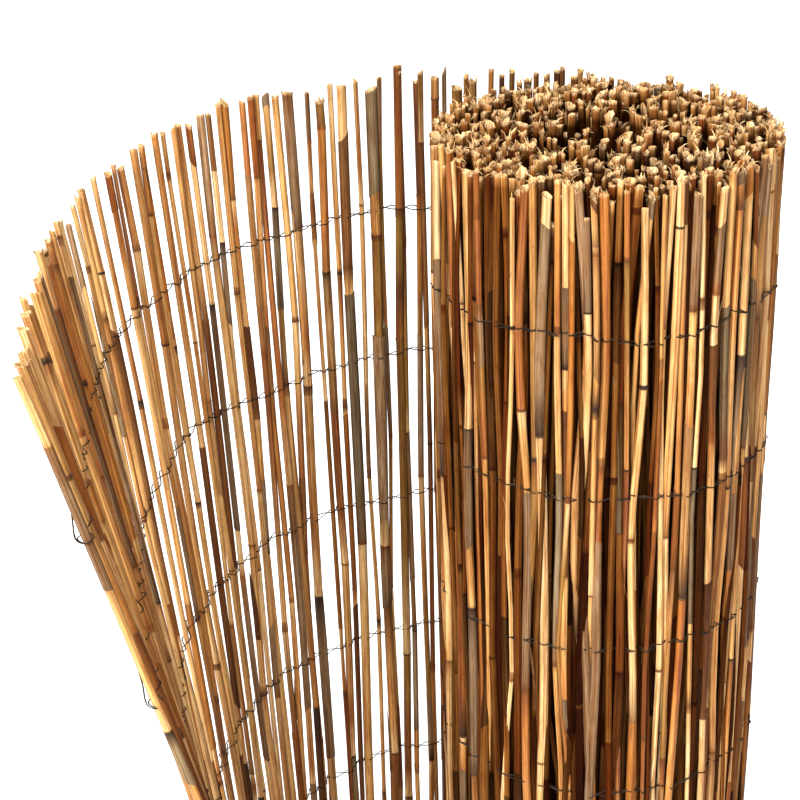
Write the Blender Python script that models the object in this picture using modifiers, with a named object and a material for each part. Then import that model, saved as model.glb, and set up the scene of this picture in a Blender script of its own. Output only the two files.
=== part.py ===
"""Reed screening roll: a wired reed mat, rolled up and standing on its end,
with its last stretch unrolled into a curved, leaning flap."""
import math
import random

import bmesh
import bpy
from mathutils import Matrix, Vector

# Driving sizes in metres, angles in degrees
REED_LENGTH = 1.0
TOP_UNEVENNESS = 0.012

ROLL_RADIUS_TOP = 0.104
ROLL_RADIUS_BOTTOM = 0.095
BORE_RADIUS = 0.024
TURN_THICKNESS = 0.0078
TURN_GROOVE_WIDTH = 0.0026
TURN_GROOVE_DEPTH = 0.006
INNER_TURN_SEGMENTS = 20

OUTER_REED_WIDTH = 0.0064
OUTER_REED_OVERLAP = 0.0006
OUTER_REED_RECESS = 0.0012
OUTER_REED_SIDES = 6

FLAP_LENGTH = 0.644
FLAP_REED_COUNT = 45
FLAP_REED_RADIUS = 0.0024
FLAP_REED_VARIATION = 0.0005
FLAP_REED_TAPER = 0.10
FLAP_TOP_UNEVENNESS = 0.005
FLAP_REED_SIDES = 6
END_REED_COUNT = 7
END_REED_RADIUS = 0.0034
SPACING_JITTER = 0.12
NODE_RING_HEIGHT = 0.003
NODE_RING_SWELL = 0.12
NODE_RING_COUNT = 3

# The flap leaves the roll at its back and curls round to the front. Each edge
# turns through its own angle; sway and bow bend it more at one end or the middle.
FLAP_START_ANGLE = 58.8
TOP_EDGE_TURN = 126.0
TOP_EDGE_SWAY = 0.46
TOP_EDGE_BOW = -0.323
BOTTOM_EDGE_TURN = 186.0
BOTTOM_EDGE_SWAY = 0.082
BOTTOM_EDGE_BOW = -0.381
EDGE_STEPS = 400

WIRE_RADIUS = 0.0005
WIRE_SIDES = 3
WIRE_CLEARANCE = 0.0003
STRAND_SPLIT = 0.00075
FIRST_ROW_FROM_TOP = 0.089
ROW_SPACING = 0.1
ROLL_WIRE_SEGMENTS = 24
WIRE_TAIL_ANGLE = 28.0
WIRE_LEAD_ANGLE = 5.0

FIT_GAP = 0.0003
MERGE_DISTANCE = 0.00001
SEED = 7

REED_TONES = {
    "straw": (0.62, 0.43, 0.20),
    "golden": (0.50, 0.29, 0.10),
    "tan": (0.38, 0.22, 0.10),
    "brown": (0.20, 0.10, 0.05),
    "sheath": (0.27, 0.20, 0.15),
}


def clear_scene():
    for item in list(bpy.data.objects):
        bpy.data.objects.remove(item, do_unlink=True)


def new_collection(name):
    collection = bpy.data.collections.new(name)
    bpy.context.scene.collection.children.link(collection)
    return collection


def new_material(name, colour, roughness, metallic=0.0):
    material = bpy.data.materials.new(name)
    material.use_nodes = True
    shader = material.node_tree.nodes["Principled BSDF"]
    shader.inputs["Base Color"].default_value = (*colour, 1.0)
    shader.inputs["Roughness"].default_value = roughness
    shader.inputs["Metallic"].default_value = metallic
    return material


def new_object(name, data, collection, material=None):
    item = bpy.data.objects.new(name, data)
    collection.objects.link(item)
    if material:
        data.materials.append(material)
    return item


def polyline_mesh(name, points, closed):
    """A wire-only mesh through profile points (radius, height)."""
    edges = [(i, i + 1) for i in range(len(points) - 1)]
    if closed:
        edges.append((len(points) - 1, 0))
    mesh = bpy.data.meshes.new(name)
    mesh.from_pydata([(radius, 0.0, height) for radius, height in points], edges, [])
    return mesh


def turn_profile(item, segments):
    screw = item.modifiers.new("turn", "SCREW")
    screw.steps = segments
    screw.render_steps = segments
    screw.use_merge_vertices = True
    screw.merge_threshold = MERGE_DISTANCE
    screw.use_smooth_shade = True


def roll_radius(height):
    """Outside of the roll's reeds: it narrows a little towards the floor."""
    share = height / REED_LENGTH
    return ROLL_RADIUS_BOTTOM + (ROLL_RADIUS_TOP - ROLL_RADIUS_BOTTOM) * share


# Inner turns: one turned solid with its bore, a groove between turns on each end

def end_profile(outer_radius, levels, groove_sign):
    """Profile across one end of the roll, from the outside in to the bore."""
    thickness = (outer_radius - BORE_RADIUS) / len(levels)
    points = []
    for turn, level in enumerate(levels):
        outside = outer_radius - turn * thickness
        inside = outside - thickness + TURN_GROOVE_WIDTH
        points.append((outside, level))
        points.append((inside, level))
        if turn < len(levels) - 1:
            middle = inside - TURN_GROOVE_WIDTH / 2
            points.append((middle, level + groove_sign * TURN_GROOVE_DEPTH))
    points[-1] = (BORE_RADIUS, levels[-1])
    return points


def build_inner_turns(parts, material, outside_width):
    rng = random.Random(SEED)
    wall = outside_width + OUTER_REED_RECESS + FIT_GAP
    radius_top = ROLL_RADIUS_TOP - wall
    radius_bottom = ROLL_RADIUS_BOTTOM - wall
    count = max(2, round((radius_top - BORE_RADIUS) / TURN_THICKNESS))
    levels = [REED_LENGTH - rng.uniform(0, TOP_UNEVENNESS) for _ in range(count)]
    bottom = end_profile(radius_bottom, [0.0] * count, 1)
    top = end_profile(radius_top, levels, -1)
    points = bottom + top[::-1]
    mesh = polyline_mesh("inner_turns", points, closed=True)
    item = new_object("inner_turns", mesh, parts, material)
    turn_profile(item, INNER_TURN_SEGMENTS)
    return item


# Outer turn: a closed ring of reeds that grow into each other, unevenly cut on top

def add_reed_prism(mesh, angle, half_width_bottom, half_width_top, recess, top):
    """An upright many-sided reed whose outer side follows the roll's outside."""
    shape = bmesh.ops.create_cone(
        mesh, cap_ends=True, segments=OUTER_REED_SIDES,
        radius1=half_width_bottom, radius2=half_width_top, depth=top)
    axis_bottom = ROLL_RADIUS_BOTTOM - recess - half_width_bottom
    axis_top = ROLL_RADIUS_TOP - recess - half_width_top
    slope = (axis_top - axis_bottom) / top
    lean = Matrix.Shear("XY", 4, (slope, 0.0))
    place = (Matrix.Rotation(angle, 4, "Z")
             @ Matrix.Translation((axis_bottom, 0.0, 0.0))
             @ lean
             @ Matrix.Translation((0.0, 0.0, top / 2))
             @ Matrix.Rotation(math.pi / OUTER_REED_SIDES, 4, "Z"))
    bmesh.ops.transform(mesh, matrix=place, verts=shape["verts"])


def outer_reed_count():
    """An even number of reeds whose widths close the ring."""
    axis_radius = ROLL_RADIUS_TOP - OUTER_REED_WIDTH / 2
    pitch = OUTER_REED_WIDTH - OUTER_REED_OVERLAP
    return 2 * round(math.pi * axis_radius / pitch)


def outer_half_width(outside_radius, count):
    """Half width across a reed's corners, so that it just grows into its neighbours."""
    flat = math.cos(math.pi / OUTER_REED_SIDES)
    sector = math.sin(math.pi / count)
    return (outside_radius * sector + OUTER_REED_OVERLAP / 2) / (flat + sector)


def build_outer_turn(parts, cutters, material):
    """Build the ring of reeds and return how wide a reed is at the top."""
    rng = random.Random(SEED + 1)
    count = outer_reed_count()
    half_bottom = outer_half_width(ROLL_RADIUS_BOTTOM, count)
    half_top = outer_half_width(ROLL_RADIUS_TOP, count)
    halves = [bmesh.new(), bmesh.new()]
    for index in range(count):
        recess = rng.uniform(0, OUTER_REED_RECESS)
        top = REED_LENGTH + rng.uniform(-TOP_UNEVENNESS, TOP_UNEVENNESS)
        angle = 2 * math.pi * index / count
        add_reed_prism(halves[index % 2], angle, half_bottom, half_top, recess, top)
    items = []
    for name, half, collection in zip(
            ("outer_turn", "outer_turn_odd_reeds"), halves, (parts, cutters)):
        mesh = bpy.data.meshes.new(name)
        half.to_mesh(mesh)
        half.free()
        items.append(new_object(name, mesh, collection, material))
    outer_turn, odd_reeds = items
    odd_reeds.hide_render = True
    odd_reeds.display_type = "WIRE"
    join = outer_turn.modifiers.new("join_reeds", "BOOLEAN")
    join.operation = "UNION"
    join.solver = "EXACT"
    join.object = odd_reeds
    return 2 * half_top


# Flap: straight reeds between a top edge and a bottom edge, each its own piece

def flap_edge(start_radius, turn, sway, bow):
    """Points along one edge of the flap, seen from above."""
    start = math.radians(FLAP_START_ANGLE)
    turn = math.radians(turn)
    point = Vector((math.cos(start), math.sin(start))) * start_radius
    points = [point.copy()]
    for step in range(EDGE_STEPS):
        share = (step + 0.5) / EDGE_STEPS
        bend = (share - sway * math.sin(2 * math.pi * share) / (2 * math.pi)
                - bow * math.sin(math.pi * share) / math.pi)
        heading = start + math.pi / 2 + turn * bend
        point += Vector((math.cos(heading), math.sin(heading))) * (FLAP_LENGTH / EDGE_STEPS)
        points.append(point.copy())
    return points


def point_along(points, share):
    place = min(1.0, max(0.0, share)) * (len(points) - 1)
    index = min(int(place), len(points) - 2)
    return points[index].lerp(points[index + 1], place - index)


def flap_reeds():
    """Foot, direction, length and radius of each reed, from the roll to the free end."""
    rng = random.Random(SEED + 2)
    largest = max(FLAP_REED_RADIUS + FLAP_REED_VARIATION, END_REED_RADIUS)
    largest *= 1 + FLAP_REED_TAPER
    standoff = largest + 2 * (2 * WIRE_RADIUS + WIRE_CLEARANCE)
    top_edge = flap_edge(ROLL_RADIUS_TOP + standoff, TOP_EDGE_TURN, TOP_EDGE_SWAY, TOP_EDGE_BOW)
    bottom_edge = flap_edge(
        ROLL_RADIUS_BOTTOM + standoff, BOTTOM_EDGE_TURN, BOTTOM_EDGE_SWAY, BOTTOM_EDGE_BOW)
    reeds = []
    for index in range(FLAP_REED_COUNT):
        foot, head = (
            point_along(edge, (index + rng.uniform(-SPACING_JITTER, SPACING_JITTER))
                        / (FLAP_REED_COUNT - 1))
            for edge in (bottom_edge, top_edge))
        reach = head - foot
        rise = math.sqrt(REED_LENGTH ** 2 - reach.length_squared)
        direction = Vector((reach.x, reach.y, rise)).normalized()
        radius = FLAP_REED_RADIUS + rng.uniform(-FLAP_REED_VARIATION, FLAP_REED_VARIATION)
        if index >= FLAP_REED_COUNT - END_REED_COUNT:
            radius = END_REED_RADIUS
        length = REED_LENGTH + rng.uniform(-FLAP_TOP_UNEVENNESS, FLAP_TOP_UNEVENNESS)
        lift = radius * (1 + FLAP_REED_TAPER) * math.sqrt(1 - direction.z ** 2)
        reeds.append({"foot": Vector((foot.x, foot.y, lift)), "direction": direction,
                      "length": length, "radius": radius})
    return reeds


def reed_profile(radius, length, rng):
    """A reed's outline from top to foot: each joint is a ring that swells above a waist."""
    def taper(height):
        return radius * (1 + FLAP_REED_TAPER * (1 - 2 * height / length))
    points = [(0.0, length), (taper(length), length)]
    for ring in reversed(range(NODE_RING_COUNT)):
        height = length * (ring + rng.uniform(0.3, 0.7)) / NODE_RING_COUNT
        points.append((taper(height) * (1 - NODE_RING_SWELL / 2), height + NODE_RING_HEIGHT))
        points.append((taper(height) * (1 + NODE_RING_SWELL / 2), height))
    points.append((taper(0.0), 0.0))
    points.append((0.0, 0.0))
    return points


def build_flap(parts, reeds, materials):
    rng = random.Random(SEED + 3)
    tones = list(REED_TONES)
    for index, reed in enumerate(reeds):
        name = f"reed_{index + 1:02d}"
        points = reed_profile(reed["radius"], reed["length"], rng)
        material = materials[rng.choice(tones)]
        item = new_object(name, polyline_mesh(name, points, closed=False), parts, material)
        item.location = reed["foot"]
        item.rotation_mode = "QUATERNION"
        item.rotation_quaternion = reed["direction"].to_track_quat("Z", "Y")
        turn_profile(item, FLAP_REED_SIDES)


# Wire rows: one wire round the roll, out along the flap and back, weaving past each reed

def wire_section(cutters):
    """The wire's cross section, a small closed outline swept along each row."""
    curve = bpy.data.curves.new("wire_section", "CURVE")
    curve.dimensions = "2D"
    spline = curve.splines.new("POLY")
    spline.points.add(WIRE_SIDES - 1)
    for index, point in enumerate(spline.points):
        angle = -2 * math.pi * index / WIRE_SIDES
        point.co = (WIRE_RADIUS * math.cos(angle), WIRE_RADIUS * math.sin(angle), 0.0, 1.0)
    spline.use_cyclic_u = True
    item = new_object("wire_section", curve, cutters)
    item.hide_render = True
    item.display_type = "WIRE"
    return item


def roll_wire_points(height):
    """The wire round the outer turn, from under the flap to the flap's first reed."""
    radius = roll_radius(height) + WIRE_CLEARANCE + WIRE_RADIUS
    radius /= math.cos(math.pi / ROLL_WIRE_SEGMENTS)
    first = math.radians(FLAP_START_ANGLE + WIRE_TAIL_ANGLE)
    last = math.radians(FLAP_START_ANGLE + 360.0 - WIRE_LEAD_ANGLE)
    points = []
    for index in range(ROLL_WIRE_SEGMENTS + 1):
        angle = first + (last - first) * index / ROLL_WIRE_SEGMENTS
        points.append(Vector((radius * math.cos(angle), radius * math.sin(angle), height)))
    return points


def strand_points(reeds, row_height, side):
    """A strand that passes one reed in front and the next behind; side starts it."""
    centres = [reed["foot"] + reed["direction"] * row_height for reed in reeds]
    points = []
    for index, reed in enumerate(reeds):
        before = centres[max(0, index - 1)]
        after = centres[min(len(centres) - 1, index + 1)]
        along = (after - before).normalized()
        outward = along.cross(Vector((0.0, 0.0, 1.0))).normalized()
        pitch = (after - before).length
        if 0 < index < len(reeds) - 1:
            pitch = min((after - centres[index]).length, (centres[index] - before).length)
        need = reed["radius"] * (1 + NODE_RING_SWELL) + WIRE_RADIUS + WIRE_CLEARANCE
        offset = need / math.sqrt(1 - (2 * need / pitch) ** 2)
        points.append(centres[index] + outward * offset * side)
        side = -side
    turn_point = centres[-1] + (centres[-1] - centres[-2]).normalized() * offset
    return points, turn_point


def build_wire_row(name, parts, section, reeds, from_top, material):
    row_height = REED_LENGTH - from_top
    split = Vector((0.0, 0.0, STRAND_SPLIT))
    out, turn_point = strand_points(reeds, row_height, -1)
    back, _ = strand_points(reeds, row_height, 1)
    path = [point + split for point in roll_wire_points(row_height) + out]
    path.append(turn_point)
    path += [point - split for point in reversed(back)]
    curve = bpy.data.curves.new(name, "CURVE")
    curve.dimensions = "3D"
    curve.bevel_mode = "OBJECT"
    curve.bevel_object = section
    curve.use_fill_caps = True
    spline = curve.splines.new("POLY")
    spline.points.add(len(path) - 1)
    for point, place in zip(spline.points, path):
        point.co = (*place, 1.0)
    return new_object(name, curve, parts, material)


def stand_on_origin(parts, cutters):
    """Move the whole part so that its box stands centred on the origin."""
    bpy.context.view_layer.update()
    depsgraph = bpy.context.evaluated_depsgraph_get()
    low = Vector((math.inf,) * 3)
    high = Vector((-math.inf,) * 3)
    for item in parts.objects:
        shape = item.evaluated_get(depsgraph)
        mesh = shape.to_mesh()
        for vertex in mesh.vertices:
            place = item.matrix_world @ vertex.co
            low = Vector(map(min, low, place))
            high = Vector(map(max, high, place))
        shape.to_mesh_clear()
    anchor = bpy.data.objects.new("reed_screening_roll", None)
    bpy.context.scene.collection.objects.link(anchor)
    for item in (*parts.objects, *cutters.objects):
        item.parent = anchor
    anchor.location = (-(low.x + high.x) / 2, -(low.y + high.y) / 2, -low.z)


def main():
    clear_scene()
    parts = new_collection("reed_screening_roll_parts")
    cutters = new_collection("guides")
    wire = new_material("dark_wire", (0.035, 0.03, 0.028), 0.45, 0.8)
    inner = new_material("reed_inner_turns", (0.16, 0.09, 0.045), 0.8)
    outer = new_material("reed_outer_turn", (0.45, 0.27, 0.11), 0.55)
    tones = {name: new_material(f"reed_{name}", colour, 0.5)
             for name, colour in REED_TONES.items()}

    outside_width = build_outer_turn(parts, cutters, outer)
    build_inner_turns(parts, inner, outside_width)
    reeds = flap_reeds()
    build_flap(parts, reeds, tones)

    section = wire_section(cutters)
    row_count = int((REED_LENGTH - 2 * FIRST_ROW_FROM_TOP) / ROW_SPACING) + 1
    for row in range(row_count):
        from_top = FIRST_ROW_FROM_TOP + row * ROW_SPACING
        build_wire_row(f"wire_row_{row + 1}", parts, section, reeds, from_top, wire)
    stand_on_origin(parts, cutters)


main()
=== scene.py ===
"""Looks of the reed screening roll: every reed of the mat with its sheaths, joints
and torn ends, the twisted binding wires, and a plain pale studio."""

import functools
import math

import bpy
import numpy as np
from mathutils import Matrix, Vector


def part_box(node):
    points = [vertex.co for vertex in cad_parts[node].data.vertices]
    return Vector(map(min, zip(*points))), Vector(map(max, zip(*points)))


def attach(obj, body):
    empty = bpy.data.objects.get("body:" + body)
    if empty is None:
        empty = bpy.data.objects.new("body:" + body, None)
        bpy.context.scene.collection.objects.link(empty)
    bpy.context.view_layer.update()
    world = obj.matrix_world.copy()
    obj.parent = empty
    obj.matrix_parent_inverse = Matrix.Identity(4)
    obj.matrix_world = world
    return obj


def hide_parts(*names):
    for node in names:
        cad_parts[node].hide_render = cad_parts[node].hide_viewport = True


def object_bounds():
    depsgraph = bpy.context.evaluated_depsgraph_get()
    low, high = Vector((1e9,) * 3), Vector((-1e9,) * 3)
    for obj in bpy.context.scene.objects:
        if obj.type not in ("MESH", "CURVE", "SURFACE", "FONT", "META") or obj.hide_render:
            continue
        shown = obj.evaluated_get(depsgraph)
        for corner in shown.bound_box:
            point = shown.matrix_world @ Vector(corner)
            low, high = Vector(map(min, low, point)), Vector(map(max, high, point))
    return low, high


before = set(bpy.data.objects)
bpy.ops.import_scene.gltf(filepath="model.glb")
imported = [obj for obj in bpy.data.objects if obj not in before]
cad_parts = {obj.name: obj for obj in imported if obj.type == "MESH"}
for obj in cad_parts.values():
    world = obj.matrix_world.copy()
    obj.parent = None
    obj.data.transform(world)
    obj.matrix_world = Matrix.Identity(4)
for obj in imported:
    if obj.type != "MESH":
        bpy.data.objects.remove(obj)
cad_low, cad_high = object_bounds()

UP = np.array((0.0, 0.0, 1.0))
TURN = 2 * math.pi
SEED = 11

# The roll and its mat, in metres; what runs inward has its outer value first
roll_low, roll_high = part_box("outer_turn")
CORE_LOW, CORE_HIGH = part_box("inner_turns")
ROLL_CENTRE = np.array((CORE_LOW + CORE_HIGH) / 2)[:2]
ROLL_RADIUS = (roll_high.x - roll_low.x) / 2
ROLL_FOOT_RADIUS = ROLL_RADIUS - 0.009
REED_LENGTH = CORE_HIGH.z
TOP_LIMIT = cad_high.z - 0.0004
BORE_RADIUS = 0.021
LOOSE_REEDS = 7
TURN_PITCH = (0.0050, 0.0074)
REED_PITCH = (0.0041, 0.0080)
FLAP_START = math.radians(58.8)
FLAP_REEDS = sorted(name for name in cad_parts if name.startswith("reed_"))
WIRE_ROWS = sorted(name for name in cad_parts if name.startswith("wire_row_"))
FIRST_ROW_FROM_TOP = 0.089
ROW_SPACING = 0.1

# Reed sizes: share of the reeds, least and greatest radius in metres
REED_SIZES = ((0.48, 0.0012, 0.0018), (0.38, 0.0018, 0.0025), (0.14, 0.0025, 0.0032))

# Joints of a reed, in metres: how far apart they are, and how far it swerves at each
INTERNODE = (0.09, 0.24)
MOST_JOINTS = 15
ROLL_ZIGZAG = 0.0008
FLAP_ZIGZAG = 0.0012
KINK_SHARES = (0.3, 1.4)

# Rings of a reed's mesh, in metres: steps between them, and heights with only a few
RING_STEP = 0.045
QUIET_STEP = 0.085
STEP_LENGTH = 0.0004
END_CLEARANCE = 0.003
QUIET_NOWHERE = (9.0, 0.0)
QUIET_INSIDE = (0.03, REED_LENGTH - 0.15)
OUTER_SIDES, INNER_SIDES, FLAP_SIDES = 9, 7, 12
CHUNK_REEDS = 240
GRAIN_SHIFT = 4

# Tones seen on the reeds, as sRGB
TONES = {
    "cream": (236, 199, 144),
    "straw": (226, 185, 125),
    "golden": (216, 170, 104),
    "honey": (202, 149, 82),
    "ochre": (182, 122, 54),
    "olive": (150, 110, 46),
    "orange": (174, 108, 44),
    "russet": (148, 88, 34),
    "umber": (106, 63, 24),
    "black": (46, 26, 8),
    "mauve": (150, 121, 90),
    "grey": (136, 116, 88),
    "tan": (180, 137, 86),
    "clay": (137, 93, 50),
    "fibre": (255, 228, 178),
}

BARE_MOODS = {
    "pale": ("cream", "cream", "straw", "golden"),
    "warm": ("straw", "golden", "golden", "honey", "ochre"),
    "brown": ("golden", "honey", "ochre", "olive", "orange", "russet"),
    "dark": ("honey", "ochre", "olive", "olive", "umber", "russet"),
}
MOOD_WEIGHTS = (0.38, 0.38, 0.20, 0.04)
SHEATH_TONES = ("mauve", "tan", "mauve", "clay", "ochre", "russet", "grey", "umber", "mauve")
JOINT_TONES = ("black", "umber", "umber", "russet", "clay")
STAIN_TONES = ("ochre", "orange", "russet", "umber")
PEEL_TONES = ("mauve", "grey", "umber", "clay", "tan")
FIBRE_TONES = ("fibre", "straw", "golden", "clay", "grey")

# Light left on a reed below its top, by its depth under the roll's outside
SHADE_DEPTHS = (0.0032, 0.0060, 0.0100)
SHADE_SHARES = (0.28, 0.15, 0.09)
SHADE_TINT = np.array((1.0, 0.62, 0.28))
LIT_TOP = 0.0075
TOP_LIGHT = np.array((0.78, 0.62, 0.43))


def linear(rgb):
    """sRGB 0 to 255 as linear values."""
    part = np.asarray(rgb, float) / 255
    return np.where(part <= 0.04045, part / 12.92, ((part + 0.055) / 1.055) ** 2.4)


TONE = {name: linear(rgb) for name, rgb in TONES.items()}


# Mesh building

SHARP_ANGLE = math.radians(55)


def new_object(name, data):
    """A new object in the scene."""
    item = bpy.data.objects.new(name, data)
    bpy.context.scene.collection.objects.link(item)
    return item


class Patch:
    """Points, faces and surface values of one mesh while it grows."""

    def __init__(self):
        self.points, self.faces, self.tones, self.shine, self.grain = [], [], [], [], []
        self.count = 0

    def add(self, points, faces, tones, shine, grain):
        points = np.asarray(points, float)
        number = len(points)
        self.points.append(points)
        self.tones.append(np.broadcast_to(tones, (number, 3)))
        self.shine.append(np.broadcast_to(shine, number))
        self.grain.append(np.broadcast_to(grain, (number, 3)))
        self.faces += [tuple(corner + self.count for corner in face) for face in faces]
        self.count += number

    def make(self, name, material):
        points = np.concatenate(self.points)
        points[:, 2] = np.clip(points[:, 2], cad_low.z, TOP_LIMIT)
        mesh = bpy.data.meshes.new(name)
        mesh.from_pydata(points.tolist(), [], self.faces)
        tones = np.concatenate([np.concatenate(self.tones), np.ones((self.count, 1))], axis=1)
        values = (("tone", "FLOAT_COLOR", "color", tones),
                  ("shine", "FLOAT", "value", np.concatenate(self.shine)),
                  ("grain", "FLOAT_VECTOR", "vector", np.concatenate(self.grain)))
        for label, kind, field, data in values:
            attribute = mesh.attributes.new(label, kind, "POINT")
            attribute.data.foreach_set(field, np.asarray(data, np.float32).ravel())
        mesh.shade_smooth()
        mesh.set_sharp_from_angle(angle=SHARP_ANGLE)
        mesh.materials.append(material)
        item = new_object(name, mesh)
        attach(item, "root")
        return item


@functools.cache
def grid_faces(rows, columns, closed=True):
    """Quads between rows of points; closed joins the last column to the first."""
    return [(row * columns + column, row * columns + (column + 1) % columns,
             (row + 1) * columns + (column + 1) % columns, (row + 1) * columns + column)
            for row in range(rows - 1)
            for column in range(columns if closed else columns - 1)]


def smooth_at(values, places):
    """Values at places, counted in steps, on a smooth line through evenly spaced values."""
    index = np.clip(places.astype(int), 0, len(values) - 2)
    t = (places - index)[:, None]
    slopes = np.gradient(values, axis=0)
    return ((2 * t ** 3 - 3 * t ** 2 + 1) * values[index]
            + (t ** 3 - 2 * t ** 2 + t) * slopes[index]
            + (3 * t ** 2 - 2 * t ** 3) * values[index + 1]
            + (t ** 3 - t ** 2) * slopes[index + 1])


class Line:
    """A reed's centre line through evenly spaced points, foot first, with a kink at
    each joint of the reed."""

    def __init__(self, points, rng, zigzag):
        self.points = np.asarray(points, float)
        span = self.points[-1] - self.points[0]
        self.length = np.linalg.norm(span)
        self.direction = span / self.length
        self.across = np.cross(self.direction, (1.0, 0.0, 0.0))
        self.across /= np.linalg.norm(self.across)
        self.beyond = np.cross(self.direction, self.across)
        spans = rng.uniform(*INTERNODE, MOST_JOINTS)
        self.joints = np.cumsum(spans) - spans[0] - rng.uniform(0, INTERNODE[1])
        self.kinks = (zigzag * rng.uniform(*KINK_SHARES, MOST_JOINTS)
                      * (-1.0) ** np.arange(MOST_JOINTS))
        self.kinked = self.spokes(rng.uniform(0, TURN, 1))

    def at(self, heights):
        heights = np.asarray(heights, float)
        inside = np.clip(heights, 0, self.length)
        places = inside / self.length * (len(self.points) - 1)
        aside = np.interp(inside, self.joints, self.kinks)[:, None] * self.kinked
        return (smooth_at(self.points, places) + aside
                + np.outer(heights - inside, self.direction))

    def spokes(self, angles):
        return np.outer(np.cos(angles), self.across) + np.outer(np.sin(angles), self.beyond)


def blend(first, second, share):
    return first * (1 - share) + second * share


def either(rng, first, second):
    """A number out of one of two ranges."""
    return rng.choice((rng.uniform(*first), rng.uniform(*second)))


# A reed's growth: joints, sheaths, bare stem and their tones from foot to top

WIDTHS = (0.92, 1.06)
JOINT_SWELL, EDGE_SWELL, NECK_SWELL = 1.12, 1.06, 1.03
MIDDLE_MIX, MIDDLE_LIGHTS = (0.2, 0.8), (0.85, 1.1)
JOINT_EDGE = 0.0008
JOINT_BANDS = (0.0005, 0.0018), (0.002, 0.007)
SHEATHED_SHARE, TIGHT_SHARE = 0.54, 0.9
SHEATH_LIGHTS, SHEATH_TIP_LIGHTS = (0.75, 1.2), (0.5, 1.15)
SHEATH_TOPS = (0.2, 0.6), (0.6, 0.97)
TIGHT_SWELLS, WIDE_SWELLS = (1.05, 1.16), (1.15, 1.3)
SHEATH_SLANTS = (0.0003, 0.0034)
SHEATH_TIP = 0.012
SHORTEST_BARE = 0.02
WIDEST_AT, MIDDLE_AT = 0.3, 0.4
STAINED_SHARE, PALE_SHARE = 0.5, 0.4
BAND_MIX, STAIN_MIX, RING_MIX, CREAM_MIX = (0, 0.7), 0.7, 0.4, 0.75
STAIN_SPANS, STAIN_BANDS = (0.15, 0.4), (0.003, 0.0055)
DULL, PLAIN, GLOSSY = 0.1, 0.3, 0.7


def pick_radius(rng):
    """The radius of a reed out of the three sizes."""
    sizes = np.array(REED_SIZES)
    _, low, high = sizes[rng.choice(len(sizes), p=sizes[:, 0])]
    return rng.uniform(low, high)


def internode_stops(start, end, rng, mood):
    """Stops (height, radius factor, tone, shine, slant) from one joint to the next."""
    span = end - start
    width = rng.uniform(*WIDTHS)
    lower, upper = (TONE[rng.choice(BARE_MOODS[mood])] for _ in range(2))
    middle = blend(lower, upper, rng.uniform(*MIDDLE_MIX)) * rng.uniform(*MIDDLE_LIGHTS)
    dark = TONE[rng.choice(JOINT_TONES)]
    band = either(rng, *JOINT_BANDS)
    stops = [(start, JOINT_SWELL, dark, PLAIN, 0.0),
             (start + JOINT_EDGE, EDGE_SWELL, dark, PLAIN, 0.0)]
    bare_from = start + band + STEP_LENGTH
    if rng.random() < SHEATHED_SHARE:
        sheath = TONE[rng.choice(SHEATH_TONES)] * rng.uniform(*SHEATH_LIGHTS)
        tip = sheath * rng.uniform(*SHEATH_TIP_LIGHTS)
        top = start + span * either(rng, *SHEATH_TOPS)
        swells = TIGHT_SWELLS if rng.random() < TIGHT_SHARE else WIDE_SWELLS
        swell = rng.uniform(*swells)
        slant = rng.uniform(*SHEATH_SLANTS)
        stops += [(start + band, 0.5 + swell / 2, blend(sheath, dark, 0.5), 0.15, 0.0),
                  (start + band + WIDEST_AT * (top - start), swell, sheath, DULL, 0.0),
                  (top - SHEATH_TIP, swell - 0.02, blend(sheath, tip, 0.5), DULL, slant),
                  (top, swell - 0.01, tip, 0.05, slant)]
        bare_from = top + STEP_LENGTH
    else:
        slant = 0.0
        tone = blend(dark, lower, rng.uniform(*BAND_MIX))
        stops.append((start + band, EDGE_SWELL * width, tone, PLAIN, 0.0))
    stops.append((bare_from, width, lower, GLOSSY, slant))
    left = end - bare_from
    if left > SHORTEST_BARE:
        stops.append((bare_from + MIDDLE_AT * left, width, middle, 0.75, 0.0))
        stain = upper
        if rng.random() < STAINED_SHARE:
            stain = blend(upper, TONE[rng.choice(STAIN_TONES)], STAIN_MIX)
        stops.append((end - rng.uniform(*STAIN_SPANS) * left, width, upper, GLOSSY, 0.0))
        ring = blend(stain, dark, RING_MIX)
        if rng.random() < PALE_SHARE:
            stain = ring = blend(upper, TONE["cream"], CREAM_MIX)
        stops.append((end - rng.uniform(*STAIN_BANDS), 1.0, stain, 0.6, 0.0))
        stops.append((end - JOINT_EDGE, NECK_SWELL, ring, PLAIN, 0.0))
    return stops


def reed_stops(line, rng, quiet, mood):
    """All stops of a reed; between the quiet heights only a few are kept."""
    length = line.length
    upside_down = rng.random() < 0.5
    joints = length - line.joints[::-1] if upside_down else line.joints
    stops = []
    for start, end in zip(joints[:-1], joints[1:]):
        if start < length and end > 0:
            stops += internode_stops(start, end, rng, mood)
    if upside_down:
        stops = [(length - stop[0], *stop[1:]) for stop in stops]
    stops.sort(key=lambda stop: stop[0])
    heights, factor, tones, shine, slant = (np.array(column) for column in zip(*stops))
    inside = (heights > END_CLEARANCE) & (heights < length - END_CLEARANCE)
    inside &= (heights < quiet[0]) | (heights > quiet[1])
    kept = np.sort(np.concatenate([heights[inside],
                                   [0.0, length - LIT_TOP, length - END_BAND, length]]))
    fill = []
    for low, high in zip(kept[:-1], kept[1:]):
        step = QUIET_STEP if high - low > 2 * QUIET_STEP else RING_STEP
        fill.append(np.arange(low + step, high - step / 2, step))
    places = np.sort(np.concatenate([kept, *fill]))
    return {"height": places,
            "factor": np.interp(places, heights, factor),
            "tone": np.stack([np.interp(places, heights, tones[:, c]) for c in range(3)], 1),
            "shine": np.interp(places, heights, shine),
            "slant": np.interp(places, heights, slant)}


# A whole reed: factors of its radius, tones and lengths in metres

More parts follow.
